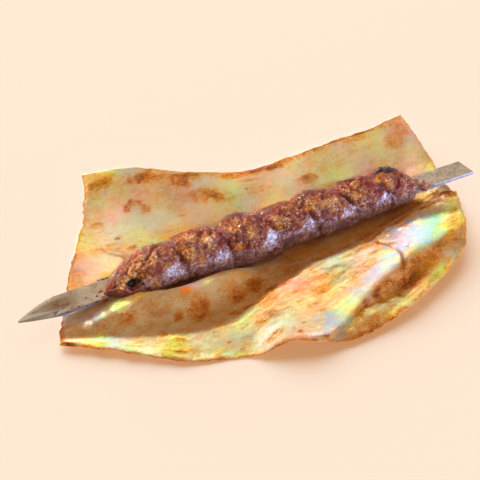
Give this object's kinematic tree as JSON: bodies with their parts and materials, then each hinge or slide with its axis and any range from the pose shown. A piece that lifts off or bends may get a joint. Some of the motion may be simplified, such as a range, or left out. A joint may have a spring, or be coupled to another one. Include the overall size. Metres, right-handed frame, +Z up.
{
  "type": "beef kebab",
  "caption": "Minced beef kebab pressed in humps onto a flat pointed steel skewer, lying on a torn, wavy sheet of browned flatbread.",
  "frame": {"origin": "middle of the bounding box's bottom face, on the surface that the flatbread lies on", "axes": "+X along the skewer from its pointed tip to its squared end, +Y across it to the bread's raised back edge, +Z up"},
  "size_m": [0.348, 0.2326, 0.0358],
  "materials": {
    "meat": "glossy, greasy browned crust",
    "steel": "dull, stained",
    "bread": "matte, floury, browned in spots"
  },
  "bodies": {
    "root": {"minced_meat": "meat", "skewer": "steel", "flatbread": "bread"}
  },
  "joints": []
}
